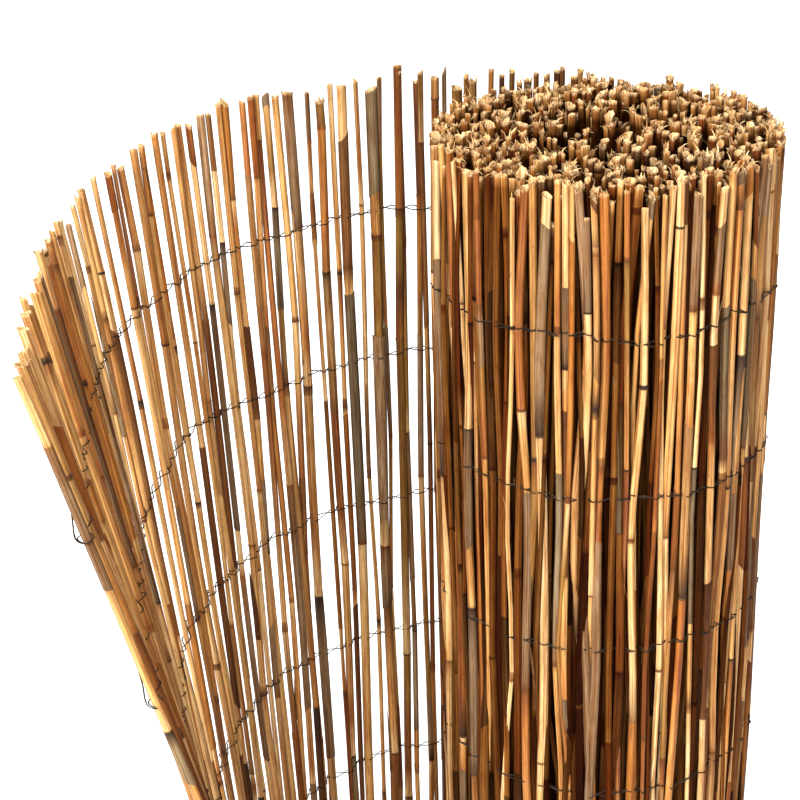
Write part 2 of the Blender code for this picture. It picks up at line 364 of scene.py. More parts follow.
TAPER, OVAL = 0.10, 0.1
REED_LIGHTS, PALE_ENDS = (0.85, 1.1), (0.35, 0.95)
TORN_SHARE, PEELING_SHARE = 0.38, 0.35
CUT_JAG, TORN_JAG, END_SLOPE = 0.00025, 0.0014, 0.0014
CUT_FLARES, TORN_FLARES = (1.0, 1.08), (1.02, 1.25)
CUT_TATTERS, TORN_TATTERS = 0.25, 2.0
WALL_SHARE, THICKEST_WALL = 0.26, 0.0007
BORE_DEPTH, BORE_TAPER, LIP = 0.012, 0.85, 0.0006
# The bore's wall goes to painted shade at its foot, and the disc that closes the bore is painted
# shade that stands for the depth of the hollow
WALL_MIX, TORN_MIX, BORE_PAINTED_SHADE, BORE_END_PAINTED_SHADE = 0.3, 0.5, 0.35, 0.2
END_BAND = 0.0019


def add_reed(patch, line, radius, rng, sides=OUTER_SIDES, quiet=QUIET_NOWHERE, shade=None,
             mood=None):
    """One whole reed with hollow, cut or torn ends."""
    length = line.length
    mood = mood or rng.choice(list(BARE_MOODS), p=MOOD_WEIGHTS)
    stops = reed_stops(line, rng, quiet, mood)
    rings = len(stops["height"])
    taper = rng.uniform(-TAPER, TAPER)
    ring_radius = radius * stops["factor"] * (1 + taper * (1 - 2 * stops["height"] / length))
    angles = TURN * np.arange(sides) / sides
    oval = 1 + rng.uniform(0, OVAL) * np.cos(2 * (angles - rng.uniform(0, math.pi)))
    spokes = line.spokes(angles)
    lift = np.cos(angles - rng.uniform(0, TURN))
    height = stops["height"][:, None] + stops["slant"][:, None] * lift[None, :]

    torn = rng.random() < TORN_SHARE
    jag = rng.uniform(-1, 1, sides) * (TORN_JAG if torn else CUT_JAG)
    jag += rng.uniform(0, END_SLOPE) * np.cos(angles - rng.uniform(0, TURN))
    height[-1] += jag
    ring_radius[-1] *= rng.uniform(*(TORN_FLARES if torn else CUT_FLARES))
    tones = stops["tone"] * rng.uniform(*REED_LIGHTS)
    shine = stops["shine"]
    if shade is not None:
        lit = shade(stops["height"], length)
        tones *= lit
        # Where shade is painted into the tone, the shine is lowered with it, down to no specular
        # reflection at all
        shine = blend(-1.0, shine, lit[:, 0])
    tones[-1] = pale_end = blend(tones[-2], TONE["fibre"], rng.uniform(*PALE_ENDS))

    points = (line.at(height.ravel()).reshape(rings, sides, 3)
              + (ring_radius[:, None] * oval[None, :])[:, :, None] * spokes[None])
    offset = rng.uniform(0, GRAIN_SHIFT, 3)

    def grain(widths, heights):
        return np.stack([widths[:, None] * np.cos(angles)[None] + offset[0],
                         widths[:, None] * np.sin(angles)[None] + offset[1],
                         heights + offset[2]], axis=2).reshape(-1, 3)

    patch.add(points.reshape(-1, 3), grid_faces(rings, sides), np.repeat(tones, sides, axis=0),
              np.repeat(shine, sides), grain(ring_radius, height))

    for end, inward in ((rings - 1, -1), (0, 1)):
        bore = max(ring_radius[end] * (1 - WALL_SHARE), ring_radius[end] - THICKEST_WALL)
        levels = np.stack([height[end], height[end] + inward * LIP,
                           np.full(sides, height[end].mean() + inward * BORE_DEPTH)])
        widths = np.array([ring_radius[end] * 0.99, bore, bore * BORE_TAPER])
        inner = (line.at(levels.ravel()).reshape(3, sides, 3)
                 + (widths[:, None] * oval[None, :])[:, :, None] * spokes[None])
        # Painted shade: the bore's wall darkens towards its foot, and the disc that closes it
        # stays dark in place of the hollow's depth
        core_tones = np.stack([pale_end, blend(pale_end, TONE["fibre"], WALL_MIX),
                               TONE["umber"] * BORE_PAINTED_SHADE])
        fan = [(2 * sides + i, 2 * sides + (i + 1) % sides, 3 * sides)[::inward]
               for i in range(sides)]
        patch.add(np.concatenate([inner.reshape(-1, 3), inner[2].mean(axis=0)[None]]),
                  [face[::inward] for face in grid_faces(3, sides)] + fan,
                  np.concatenate([np.repeat(core_tones, sides, axis=0),
                                  [TONE["umber"] * BORE_END_PAINTED_SHADE]]),
                  0.0, np.concatenate([grain(widths, levels), [offset]]))

    if torn:
        crown_tone = blend(tones[-2], TONE["fibre"], TORN_MIX)
        add_crown(patch, line, ring_radius[-1], crown_tone, rng)
    for _ in range(rng.poisson(TORN_TATTERS if torn else CUT_TATTERS)):
        add_tatter(patch, line, ring_radius[-1], rng)
    if rng.random() < PEELING_SHARE:
        add_sheath_tip(patch, line, radius, rng)


# Strips that bend out of a reed: share of their length, and width there
CROWN_SHAPE = ((0.0, 1.0), (0.35, 0.95), (0.7, 0.65), (1.0, 0.2))
TATTER_SHAPE = ((0.0, 1.0), (0.4, 0.8), (0.75, 0.5), (1.0, 0.1))

CROWN_STRIPS, MISSING_SHARE = (5, 9), 0.2
CROWN_LENGTHS, CROWN_LEANS = (0.0008, 0.0036), (-0.2, 1.5)
CROWN_WIDTHS, CROWN_TWIST = (0.3, 0.8), 0.3
CROWN_MIX, CROWN_LIGHTS = (0.2, 1.0), (0.6, 1.1)
CROWN_ROOT = 0.0009


def add_crown(patch, line, radius, tone, rng):
    """The wall of a crushed reed's end, split in strips that bend outward."""
    strips = rng.integers(*CROWN_STRIPS)
    start = rng.uniform(0, TURN)
    for strip in range(strips):
        if rng.random() < MISSING_SHARE:
            continue
        turn = start + TURN * strip / strips
        reach = rng.uniform(*CROWN_LENGTHS)
        lean = rng.uniform(*CROWN_LEANS)
        half = math.pi / strips * rng.uniform(*CROWN_WIDTHS)
        twist = rng.normal(0, CROWN_TWIST)
        rows = []
        for share, narrow in CROWN_SHAPE:
            out = radius + reach * share * math.sin(lean * share)
            up = line.length - CROWN_ROOT + reach * share * math.cos(lean * share)
            wide = half * narrow * radius / out
            spokes = line.spokes(np.array((-wide, wide)) + turn + twist * share)
            rows += list(line.at([up]) + out * spokes)
        shades = (blend(tone, TONE["fibre"], rng.uniform(*CROWN_MIX))
                  * rng.uniform(*CROWN_LIGHTS))
        patch.add(rows, grid_faces(len(CROWN_SHAPE), 2, False), shades, 0.0,
                  rows + rng.uniform(0, GRAIN_SHIFT, 3))


TATTER_LENGTHS, TATTER_WIDTHS = (0.002, 0.0065), (0.0004, 0.0013)
TATTER_LEANS, TATTER_SWAY = (-0.3, 1.6), 0.6
TATTER_ROOT, TATTER_TONES, TATTER_MIX = 0.0008, ("straw", "golden"), (0, 0.7)


def add_tatter(patch, line, radius, rng):
    """A loose fibre at a reed's end that bends outward."""
    outward, along = line.spokes(rng.uniform(0, TURN) + np.array((0, math.pi / 2)))
    root = line.at([line.length - TATTER_ROOT])[0] + outward * radius
    length = rng.uniform(*TATTER_LENGTHS)
    width = rng.uniform(*TATTER_WIDTHS)
    lean = rng.uniform(*TATTER_LEANS)
    sway = rng.normal(0, TATTER_SWAY)
    rows = []
    for share, thick in TATTER_SHAPE:
        turn = lean * share
        middle = root + length * share * (line.direction * math.cos(turn)
                                          + outward * math.sin(turn) + along * share * sway)
        rows += [middle - along * width * thick / 2, middle + along * width * thick / 2]
    tone = blend(TONE["fibre"], TONE[rng.choice(TATTER_TONES)], rng.uniform(*TATTER_MIX))
    patch.add(rows, grid_faces(len(TATTER_SHAPE), 2, False), tone, 0.0,
              rng.uniform(0, GRAIN_SHIFT, 3))


PEEL_FROM_ENDS = (0.05, 0.11)
PEEL_LENGTHS, PEEL_WRAPS = (0.015, 0.10), (0.4, 1.2)
PEEL_LIFTS = (0.0003, 0.0015), (0.002, 0.006)
PEEL_LIGHTS, PEEL_GRID = (0.6, 1.1), (8, 4)
PEEL_START, PEEL_POINT, PEEL_NARROWING, PEEL_BEND = 1.12, 0.03, 1.7, 2.2


def add_sheath_tip(patch, line, radius, rng):
    """The pointed end of a leaf sheath that peels off a reed."""
    start = rng.uniform(PEEL_FROM_ENDS[0], line.length - PEEL_FROM_ENDS[1])
    reach = rng.uniform(*PEEL_LENGTHS)
    facing = rng.uniform(0, TURN)
    half_wrap = rng.uniform(*PEEL_WRAPS)
    peel = either(rng, *PEEL_LIFTS)
    rows, columns = PEEL_GRID
    shares = np.linspace(0, 1, rows)
    points = []
    for share, middle in zip(shares, line.at(start + reach * shares)):
        narrow = half_wrap * (1 - share ** PEEL_NARROWING) + PEEL_POINT
        out = radius * PEEL_START + peel * share ** PEEL_BEND
        spokes = line.spokes(facing + np.linspace(-narrow, narrow, columns))
        points.append(middle + out * spokes)
    points = np.concatenate(points)
    tone = TONE[rng.choice(PEEL_TONES)] * rng.uniform(*PEEL_LIGHTS)
    tones = np.repeat([tone * blend(0.8, 1.0, share) for share in shares], columns, axis=0)
    patch.add(points, grid_faces(rows, columns, False), tones, DULL,
              points + rng.uniform(0, GRAIN_SHIFT, 3))


# The roll: reeds along a spiral, pushed apart until they only touch, in metres

OUTER_INSET, INNER_INSET = 0.0025, 0.003
UNEVEN_PITCH = (0.75, 1.25)
LOOSE_SPREAD = 0.75
CLEARANCE, EDGE_CLEARANCE = 0.0002, 0.0003
PUSH_SHARE, PUSH_STEP = 0.45, 0.5
BORE_OVERLAP = 0.3

LEVELS = 11
SCATTER = 0.0010
FIRST_ROUNDS, LEVEL_ROUNDS = 50, 8
LEAN = 0.0085
SWAY, TOP_SWAY = 0.0022, 0.4

# Uneven feet and heads: least drop of a head, its spread, and more of it at the front
FEET = (0.0004, 0.003)
HEAD_ROOM = 0.0007
LEAST_DROP, MOST_DROP = 0.0035, 0.045
DROP_SHAPE, DROP_SCALE = 1.7, 0.0044
INNER_DROP = 0.9
FRONT_DROP = 0.0045


def spiral_sites(rng):
    """Place of each reed of the roll, from the outside in."""
    angle, radius = 0.0, ROLL_RADIUS - OUTER_INSET
    sites = []
    while radius > BORE_RADIUS + INNER_INSET:
        turned = FLAP_START - angle
        sites.append((radius * math.cos(turned), radius * math.sin(turned)))
        inward = (ROLL_RADIUS - radius) / (ROLL_RADIUS - BORE_RADIUS)
        step = blend(*REED_PITCH, inward) * rng.uniform(*UNEVEN_PITCH)
        angle += step / radius
        radius -= blend(*TURN_PITCH, inward) * step / (TURN * radius)
    loose = rng.uniform(-1, 1, (LOOSE_REEDS, 2)) * BORE_RADIUS * LOOSE_SPREAD
    return np.concatenate([sites, loose])


def settle(points, radii, loose, rounds):
    """Push overlapping reeds apart inside the roll's outer limit and out of its bore."""
    points = points.astype(np.float32)
    room = (radii[:, None] + radii[None, :] + CLEARANCE).astype(np.float32)
    np.fill_diagonal(room, 0)
    for _ in range(rounds):
        gap = points[:, None, :] - points[None, :, :]
        distance = np.sqrt((gap ** 2).sum(axis=2)) + 1e-9
        push = np.clip(room - distance, 0, None) / distance * PUSH_SHARE
        points += (gap * push[:, :, None]).sum(axis=1) * PUSH_STEP
        reach = np.linalg.norm(points, axis=1)
        points *= np.minimum(1, (ROLL_RADIUS - radii - EDGE_CLEARANCE) / reach)[:, None]
        reach = np.linalg.norm(points, axis=1)
        free_of_bore = np.maximum(1, (BORE_RADIUS + radii * BORE_OVERLAP) / reach)
        points *= np.where(loose, 1, free_of_bore)[:, None]
    return points.astype(float)


def roll_lines():
    """The centre line, radius and depth under the outside of every reed in the roll."""
    rng = np.random.default_rng(SEED)
    sites = spiral_sites(rng)
    number = len(sites)
    loose = np.arange(number) >= number - LOOSE_REEDS
    radii = np.array([pick_radius(rng) for _ in sites])
    home = settle(sites + rng.normal(0, SCATTER, sites.shape), radii, loose, FIRST_ROUNDS)
    lean = rng.normal(0, LEAN, sites.shape)
    levels = []
    for share in np.linspace(0, 1, LEVELS):
        sway = rng.normal(0, SWAY, sites.shape) * (TOP_SWAY if share == 1 else 1)
        plan = settle(home + lean * (share - 1) + sway, radii, loose, LEVEL_ROUNDS)
        levels.append(plan * blend(ROLL_FOOT_RADIUS / ROLL_RADIUS, 1.0, share))
    levels = np.array(levels)
    feet = rng.uniform(*FEET, number)
    inward = 1 - np.linalg.norm(home, axis=1) / ROLL_RADIUS
    spread = rng.gamma(DROP_SHAPE, DROP_SCALE, number)
    drops = LEAST_DROP + spread * (1 + INNER_DROP * inward)
    drops += FRONT_DROP * np.clip(-home[:, 1] / ROLL_RADIUS, 0, 1)
    heads = TOP_LIMIT - HEAD_ROOM - np.minimum(drops, MOST_DROP)
    lines = [Line(np.column_stack([levels[:, i] + ROLL_CENTRE,
                                   np.linspace(feet[i], heads[i], LEVELS)]),
                  rng, ROLL_ZIGZAG)
             for i in range(number)]
    depth = ROLL_RADIUS - np.linalg.norm(levels[-1], axis=1) - radii
    return lines, radii, depth, rng


def inner_shade(depth):
    """The shading of a reed at a depth, or nothing for a reed on the outside."""
    if depth < SHADE_DEPTHS[0]:
        return None
    share = np.interp(depth, SHADE_DEPTHS, SHADE_SHARES)

    def shade(heights, length):
        lit = np.clip(1 - (length - heights) / LIT_TOP, 0, 1)[:, None]
        return blend(share * SHADE_TINT, TOP_LIGHT, lit)

    return shade


def build_roll(material):
    """The roll's reeds in groups from the outside in, and the reeds of each group."""
    lines, radii, depth, rng = roll_lines()
    outside, inside = SHADE_DEPTHS[0], SHADE_DEPTHS[-1]
    between = (depth >= outside) & (depth < inside)
    groups = (("outer_reeds", depth < outside, "outer_turn", OUTER_SIDES, QUIET_NOWHERE),
              ("second_reeds", between, None, INNER_SIDES, QUIET_NOWHERE),
              ("inner_reeds", depth >= inside, "inner_turns", INNER_SIDES, QUIET_INSIDE))
    for name, members, node, sides, quiet in groups:
        members = np.flatnonzero(members)
        chunks = np.array_split(members, math.ceil(len(members) / CHUNK_REEDS))
        for part, chunk in enumerate(chunks, 1):
            patch = Patch()
            for index in chunk:
                add_reed(patch, lines[index], radii[index], rng, sides, quiet,
                         inner_shade(depth[index]))
            item = patch.make(f"{name}_{part}", material)
            if node:
                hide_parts(node)
    reeds = list(zip(lines, radii))
    return [[reeds[i] for i in np.flatnonzero(members)] for _, members, *_ in groups]


# Loose ends: broken reeds between the outer ones, and long fibres

BROKEN_REEDS = 16
HANGING_SHARE = 0.3
BROKEN_RADII = (0.0010, 0.0016)
BROKEN_LEVEL, BROKEN_POINTS = 0.7, 9
STANDING_FOOT, STANDING_HEADS = 0.001, (0.45, 0.93)
HANGING_FEET, HANGING_GAPS = (0.5, 0.8), (0.002, 0.02)

ROLL_FIBRES, TOP_FIBRES = 70, 16
ROLL_FIBRE_LENGTHS, TOP_FIBRE_LENGTHS = (0.008, 0.028), (0.006, 0.018)
FIBRE_WIDTHS, FIBRE_POINTS = (0.0002, 0.0005), 7
FIBRE_CURLS, FIBRE_SWAY, FIBRE_TAPER = (0.0, 0.4), 0.25, 0.8
FIBRE_PLACES, FIBRE_TILTS = (0.05, 0.97), (0.2, 0.7)


def add_fibre(patch, root, outward, along, length, rng):
    """A long fibre that starts at a root, follows a direction and curls outward."""
    width = rng.uniform(*FIBRE_WIDTHS)
    across = np.cross(along, outward)
    across /= np.linalg.norm(across)
    curl, sway = rng.uniform(*FIBRE_CURLS), rng.normal(0, FIBRE_SWAY)
    rows = []
    for share in np.linspace(0, 1, FIBRE_POINTS):
        middle = root + length * share * (along * math.cos(curl * share)
                                          + outward * math.sin(curl * share)
                                          + across * sway * share)
        half = across * width * (1 - FIBRE_TAPER * share) / 2
        rows += [middle - half, middle + half]
    tone = TONE[rng.choice(FIBRE_TONES)]
    patch.add(rows, grid_faces(FIBRE_POINTS, 2, False), tone, 0.0, rng.uniform(0, GRAIN_SHIFT, 3))


AHEAD_OF_FLAP = math.radians(20)


def round_the_roll(reeds, level):
    """Reeds of the outer turn in order round the roll at a level, with their outward ways."""
    centres = np.array([line.at([level])[0] for line, _ in reeds])
    outward = (centres - (*ROLL_CENTRE, level)) * (1, 1, 0)
    outward /= np.linalg.norm(outward, axis=1)[:, None]
    turned = np.arctan2(outward[:, 1], outward[:, 0]) - FLAP_START - AHEAD_OF_FLAP
    order = np.argsort(turned % TURN)
    return order, centres[order], outward[order]


def build_loose_ends(outer, tops, material):
    """Broken reeds and fibres on the roll's outside, and fibres on its top."""
    rng = np.random.default_rng(SEED + 3)
    patch = Patch()
    order = round_the_roll(outer, REED_LENGTH * BROKEN_LEVEL)[0]
    for place in rng.choice(len(order) - 1, BROKEN_REEDS, replace=False):
        first, second = (outer[order[place + side]][0] for side in (0, 1))
        low, high = STANDING_FOOT, rng.uniform(*STANDING_HEADS)
        if rng.random() < HANGING_SHARE:
            low = rng.uniform(*HANGING_FEET)
            high = REED_LENGTH - rng.uniform(*HANGING_GAPS)
        heights = np.linspace(low, high, BROKEN_POINTS)
        line = Line((first.at(heights) + second.at(heights)) / 2, rng, ROLL_ZIGZAG)
        add_reed(patch, line, rng.uniform(*BROKEN_RADII), rng, INNER_SIDES)
    for _ in range(ROLL_FIBRES):
        line, radius = outer[rng.integers(len(outer))]
        root = line.at([rng.uniform(*FIBRE_PLACES) * line.length])[0]
        outward = (root - (*ROLL_CENTRE, root[2])) / ROLL_RADIUS
        sign = rng.choice((-1, 1))
        add_fibre(patch, root + outward * radius, outward, sign * line.direction,
                  rng.uniform(*ROLL_FIBRE_LENGTHS), rng)
    for index in rng.choice(len(tops), TOP_FIBRES, replace=False):
        line, _ = tops[index]
        outward = line.spokes(np.array([rng.uniform(0, TURN)]))[0]
        tilt = blend(line.direction, outward, rng.uniform(*FIBRE_TILTS))
        add_fibre(patch, line.at([line.length - 0.001])[0], outward,
                  tilt / np.linalg.norm(tilt), rng.uniform(*TOP_FIBRE_LENGTHS), rng)
    patch.make("loose_ends", material)


# The flap: one reed for each solid of the frame, and thinner ones between them

FLAP_LEAN, FLAP_STRETCH = 0.0025, (-0.007, 0.003)
FLAP_POINTS, FLAP_WANDER, THIN_WANDER = 9, 0.0007, 0.0005
STOUT_WIDTHS, SLIM_WIDTHS = (0.9, 1.35), (0.72, 1.08)
THIN_FLAP_REEDS, THIN_RADII = 33, (0.0013, 0.0022)
THIN_FOOT_MIX, THIN_HEAD_MIX = (0.42, 0.58), (0.38, 0.62)
REEDS_BEFORE_END, DENSE_REEDS, SPARSE_CHANCE = 5, 26, 0.25

# Places along the flap as shares from the roll to the free end
STOUT_SHARES = (0.2, 0.43)
DARK_BEFORE = 0.31
BROWN_AT_ROLL, BROWN_FALL = 1.3, 2.8
FLAP_MOODS = ("pale", "warm", "warm", "warm", "brown")

# Light left on the reeds beside the roll, fading along the flap and down the reeds
SHADED_SHARES = (0.30, 0.46)
SHADED_HEIGHTS = (0.58, 0.76)
LIGHT_BESIDE_ROLL = 0.62

# The wide sheath on one reed near the roll: its heights, and radii at foot and top
LOOSE_SHEATH_REED = 14
LOOSE_SHEATH_SPAN = (0.670, 0.829)
LOOSE_SHEATH_RADII = (0.0027, 0.0046)
LOOSE_SHEATH_GRID, LOOSE_SHEATH_WRAP = (12, 9), 1.9
LOOSE_SHEATH_JAG, LOOSE_SHEATH_LIGHT = 0.0012, 0.85


def flap_mood(share, rng):
    """Dark reeds beside the roll, pale ones at the free end and a mixture between."""
    if share < DARK_BEFORE:
        return "dark"
    if rng.random() < BROWN_AT_ROLL - BROWN_FALL * share:
        return rng.choice(("brown", "dark"))
    return rng.choice(FLAP_MOODS)


def flap_shade(share):
    """The shading of a reed beside the roll, or nothing for one further along."""
    if share >= SHADED_SHARES[1]:
        return None
    light = np.interp(share, SHADED_SHARES, (LIGHT_BESIDE_ROLL, 1.0))

    def shade(heights, length):
        return np.repeat(np.interp(heights, SHADED_HEIGHTS, (1.0, light))[:, None], 3, axis=1)

    return shade


def reed_axis(name):
    """Foot, head and radius of a flap reed's solid."""
    points = np.array([vertex.co[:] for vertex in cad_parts[name].data.vertices])
    middle = points.mean(axis=0)
    direction = np.linalg.svd(points - middle, full_matrices=False)[2][0]
    direction *= math.copysign(1, direction[2])
    along = (points - middle) @ direction
    side = points - middle - np.outer(along, direction)
    radius = np.median(np.linalg.norm(side, axis=1)[np.abs(along) > 0.05])
    return middle + direction * along.min(), middle + direction * along.max(), radius


def bowed_line(foot, head, rng, wander=FLAP_WANDER):
    """A nearly straight line with its own bow and small kinks."""
    shares = np.linspace(0, 1, FLAP_POINTS)[:, None]
    bow = rng.normal(0, wander * 1.8, 3) * np.sin(math.pi * shares)
    kinks = rng.normal(0, wander, (FLAP_POINTS, 3)) * (1, 1, 0)
    return Line(foot + (head - foot) * shares + bow * (1, 1, 0) + kinks * (shares > 0),
                rng, FLAP_ZIGZAG)


def add_loose_sheath(patch, line, rng):
    """A wide sheath that stands off its reed above a joint, open at the back."""
    rows, columns = LOOSE_SHEATH_GRID
    shares = np.linspace(0, 1, rows)
    wrap = np.linspace(-LOOSE_SHEATH_WRAP, LOOSE_SHEATH_WRAP, columns)
    points = []
    for share, height in zip(shares, np.linspace(*LOOSE_SHEATH_SPAN, rows)):
        jag = rng.uniform(-LOOSE_SHEATH_JAG, LOOSE_SHEATH_JAG, columns)
        spokes = line.spokes(math.pi + wrap)
        points.append(line.at(height + share ** 4 * jag)
                      + blend(*LOOSE_SHEATH_RADII, share ** 0.6) * spokes)
    points = np.concatenate(points)
    tones = [blend(TONE["umber"], TONE["mauve"], min(1, 0.4 + 4 * share)) * LOOSE_SHEATH_LIGHT
             for share in shares]
    patch.add(points, grid_faces(rows, columns, False), np.repeat(tones, columns, axis=0),
              DULL, points + rng.uniform(0, GRAIN_SHIFT, 3))


def build_flap(material):
    """The flap's reeds, and the place, line and radius of each along it."""
    rng = np.random.default_rng(SEED + 1)
    axes = [reed_axis(name) for name in FLAP_REEDS]
    last = len(axes) - 1
    flap = []
    for place, (name, (foot, head, radius)) in enumerate(zip(FLAP_REEDS, axes)):
        along = axes[min(place + 1, last)][1] - axes[max(place - 1, 0)][1]
        along /= np.linalg.norm(along)
        stretch = (head - foot) * rng.uniform(*FLAP_STRETCH)
        head = head + along * rng.normal(0, FLAP_LEAN) + stretch
        head[2] = min(head[2], TOP_LIMIT - 0.001)
        line = bowed_line(foot, head, rng)
        patch = Patch()
        share = place / last
        stout = STOUT_SHARES[0] < share < STOUT_SHARES[1]
        width = rng.uniform(*(STOUT_WIDTHS if stout else SLIM_WIDTHS))
        add_reed(patch, line, radius * width, rng, FLAP_SIDES, shade=flap_shade(share),
                 mood=flap_mood(share, rng))
        if place == LOOSE_SHEATH_REED:
            add_loose_sheath(patch, line, rng)
        item = patch.make(name.replace("reed_", "flap_reed_"), material)
        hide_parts(name)
        flap.append((place, line, radius))

    patch = Patch()
    gaps = len(axes) - REEDS_BEFORE_END
    chances = np.where(np.arange(gaps) < DENSE_REEDS, 1.0, SPARSE_CHANCE)
    for place in rng.choice(gaps, THIN_FLAP_REEDS, False, chances / chances.sum()):
        (foot, head, _), (next_foot, next_head, _) = axes[place], axes[place + 1]
        line = bowed_line(blend(foot, next_foot, rng.uniform(*THIN_FOOT_MIX)),
                          blend(head, next_head, rng.uniform(*THIN_HEAD_MIX)),
                          rng, THIN_WANDER)
        radius = rng.uniform(*THIN_RADII)
        share = place / last
        add_reed(patch, line, radius, rng, shade=flap_shade(share),
                 mood=flap_mood(share, rng))
        flap.append((place + 0.5, line, radius))
    patch.make("flap_thin_reeds", material)
    return sorted(flap, key=lambda reed: reed[0])


# Binding wires

WIRE_RADIUS = 0.00042
WIRE_SIDES = 4
WIRE_TONE, WIRE_SHINE = (0.03, 0.025, 0.02), 0.4
WIRE_FIT = 1.06
FLAP_WAVE, ROLL_WAVE = 0.0024, 0.0017
REEDS_PER_WAVE, FINE_WAVE = 5, 0.35
TWIST = (0.0002, 0.0019)
FLAP_STEPS, ROLL_STEPS = 4, 3
FLAP_DIP, ROLL_DIP = 0.0, 0.4

# The tail of a strand: how often, its rise, gap at the last reed, reeds passed, layers
TAIL_SHARE, TAIL_RISE = 0.7, 0.004
TAIL_GAP = (0.001, 0.0035)
TAIL_REEDS = (3, 6)
TAIL_FIT, TAIL_LAYER = 1.1, 0.0006

# Reeds closer than this share of their radii hide one another
HIDDEN_SHARE = 0.75


def smooth_path(points, steps):
    """A smooth line through points, with steps pieces between each two."""
    places = np.arange((len(points) - 1) * steps + 1) / steps
    return smooth_at(np.asarray(points), places)


def add_wire(patch, path):
    """A round wire along a path, with its tone and grain."""
    ahead = np.gradient(path, axis=0)
    ahead /= np.linalg.norm(ahead, axis=1)[:, None]
    side = np.cross(ahead, UP)
    side /= np.linalg.norm(side, axis=1)[:, None] + 1e-9
    over = np.cross(side, ahead)
    angles = TURN * np.arange(WIRE_SIDES) / WIRE_SIDES
    ring = (side[:, None, :] * np.cos(angles)[None, :, None]
            + over[:, None, :] * np.sin(angles)[None, :, None]) * WIRE_RADIUS
    points = (path[:, None, :] + ring).reshape(-1, 3)
    last = (len(path) - 1) * WIRE_SIDES
    caps = [tuple(range(WIRE_SIDES))[::-1], tuple(last + i for i in range(WIRE_SIDES))]
    patch.add(points, grid_faces(len(path), WIRE_SIDES) + caps, WIRE_TONE, WIRE_SHINE, points)


def wavy(number, size, rng):
    """Smooth ups and downs along a row."""
    coarse = rng.normal(0, size, number // REEDS_PER_WAVE + 3)
    smooth = np.interp(np.arange(number), np.linspace(0, number, len(coarse)), coarse)
    return smooth + rng.normal(0, size * FINE_WAVE, number)


def strand_knots(centres, radii, outward, levels, rng, first_side, dip, in_front):
    """Knots of one strand: past each reed on one side, twisted over in the gaps."""
    knots = []
    side = first_side
    for index, (centre, radius) in enumerate(zip(centres, radii)):
        reach = radius * WIRE_FIT + WIRE_RADIUS
        knots.append(centre + outward[index] * reach * side + UP * levels[index])
        if index < len(centres) - 1:
            middle = (centre + centres[index + 1]) / 2
            normal = outward[index] + outward[index + 1]
            normal /= np.linalg.norm(normal)
            wobble = rng.uniform(*TWIST) * first_side
            level = (levels[index] + levels[index + 1]) / 2 + wobble
            knots.append(middle + normal * radius * dip + UP * level)
        if not in_front:
            side = -side
    return knots


def tail_knots(centres, radii, outward, level, rng):
    """The end of a strand, looped round the last reed and back over its neighbours."""
    along = centres[-1] - centres[-2]
    along /= np.linalg.norm(along)
    rise = rng.uniform(-TAIL_RISE, TAIL_RISE)
    beyond = along * (radii[-1] + rng.uniform(*TAIL_GAP))
    knots = [centres[-1] + beyond + UP * (level + rise / 4)]
    for back in range(1, rng.integers(*TAIL_REEDS)):
        reach = radii[-back] * TAIL_FIT + TAIL_LAYER + TAIL_LAYER * back
        knots.append(centres[-back] + outward[-back] * reach
                     + UP * (level + rise * min(back / 3, 1)))
    return knots


def exposed_reeds(outer, level):
    """Centre, radius and outward way of the reeds that no neighbour stands in front of."""
    order, centres, outward = round_the_roll(outer, level)
    radii = [outer[index][1] for index in order]
    fronts = np.linalg.norm((centres - (*ROLL_CENTRE, level))[:, :2], axis=1) + radii
    kept = []
    for index in range(len(order)):
        if kept:
            apart = np.linalg.norm((centres[index] - centres[kept[-1]])[:2])
            if apart < HIDDEN_SHARE * (radii[index] + radii[kept[-1]]):
                if fronts[index] < fronts[kept[-1]]:
                    continue
                kept.pop()
        kept.append(index)
    return centres[kept], [radii[index] for index in kept], outward[kept]


def build_wires(flap, outer, material):
    """Both strands of each wire row, along the flap and round the roll."""
    rng = np.random.default_rng(SEED + 2)
    for row, name in enumerate(WIRE_ROWS):
        level = REED_LENGTH - FIRST_ROW_FROM_TOP - row * ROW_SPACING
        patch = Patch()
        centres = np.array([line.at([level])[0] for _, line, _ in flap])
        sheathed = LOOSE_SHEATH_SPAN[0] < level < LOOSE_SHEATH_SPAN[1]
        radii = [LOOSE_SHEATH_RADII[1] if sheathed and place == LOOSE_SHEATH_REED else radius
                 for place, _, radius in flap]
        outward = np.cross(np.gradient(centres, axis=0), UP)
        outward /= np.linalg.norm(outward, axis=1)[:, None]
        levels = wavy(len(centres), FLAP_WAVE, rng)
        for first_side in (1, -1):
            knots = strand_knots(centres, radii, outward, levels, rng, first_side,
                                 FLAP_DIP, False)
            if rng.random() < TAIL_SHARE:
                knots += tail_knots(centres, radii, outward, levels[-1], rng)
            add_wire(patch, smooth_path(knots, FLAP_STEPS))

        centres, radii, outward = exposed_reeds(outer, level)
        levels = wavy(len(centres), ROLL_WAVE, rng)
        for first_side, in_front in ((1, True), (-1, False)):
            knots = strand_knots(centres, radii, outward, levels, rng, first_side,
                                 ROLL_DIP, in_front)
            add_wire(patch, smooth_path(knots, ROLL_STEPS))
        item = patch.make(name.replace("wire_row_", "wires_"), material)
        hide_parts(name)


# Materials: scale for each axis and detail of each noise, the third axis along the reed

NOISES = {"streak": ((1100, 1100, 8), 4), "blotch": ((150, 150, 22), 3),
          "speck": ((700, 700, 200), 2), "mottle": ((420, 420, 55), 4)}
FIBRE = (3000, 3000, 26), 2
RUST = (260, 260, 260), 3
NOISE_ROUGHNESS = 0.6

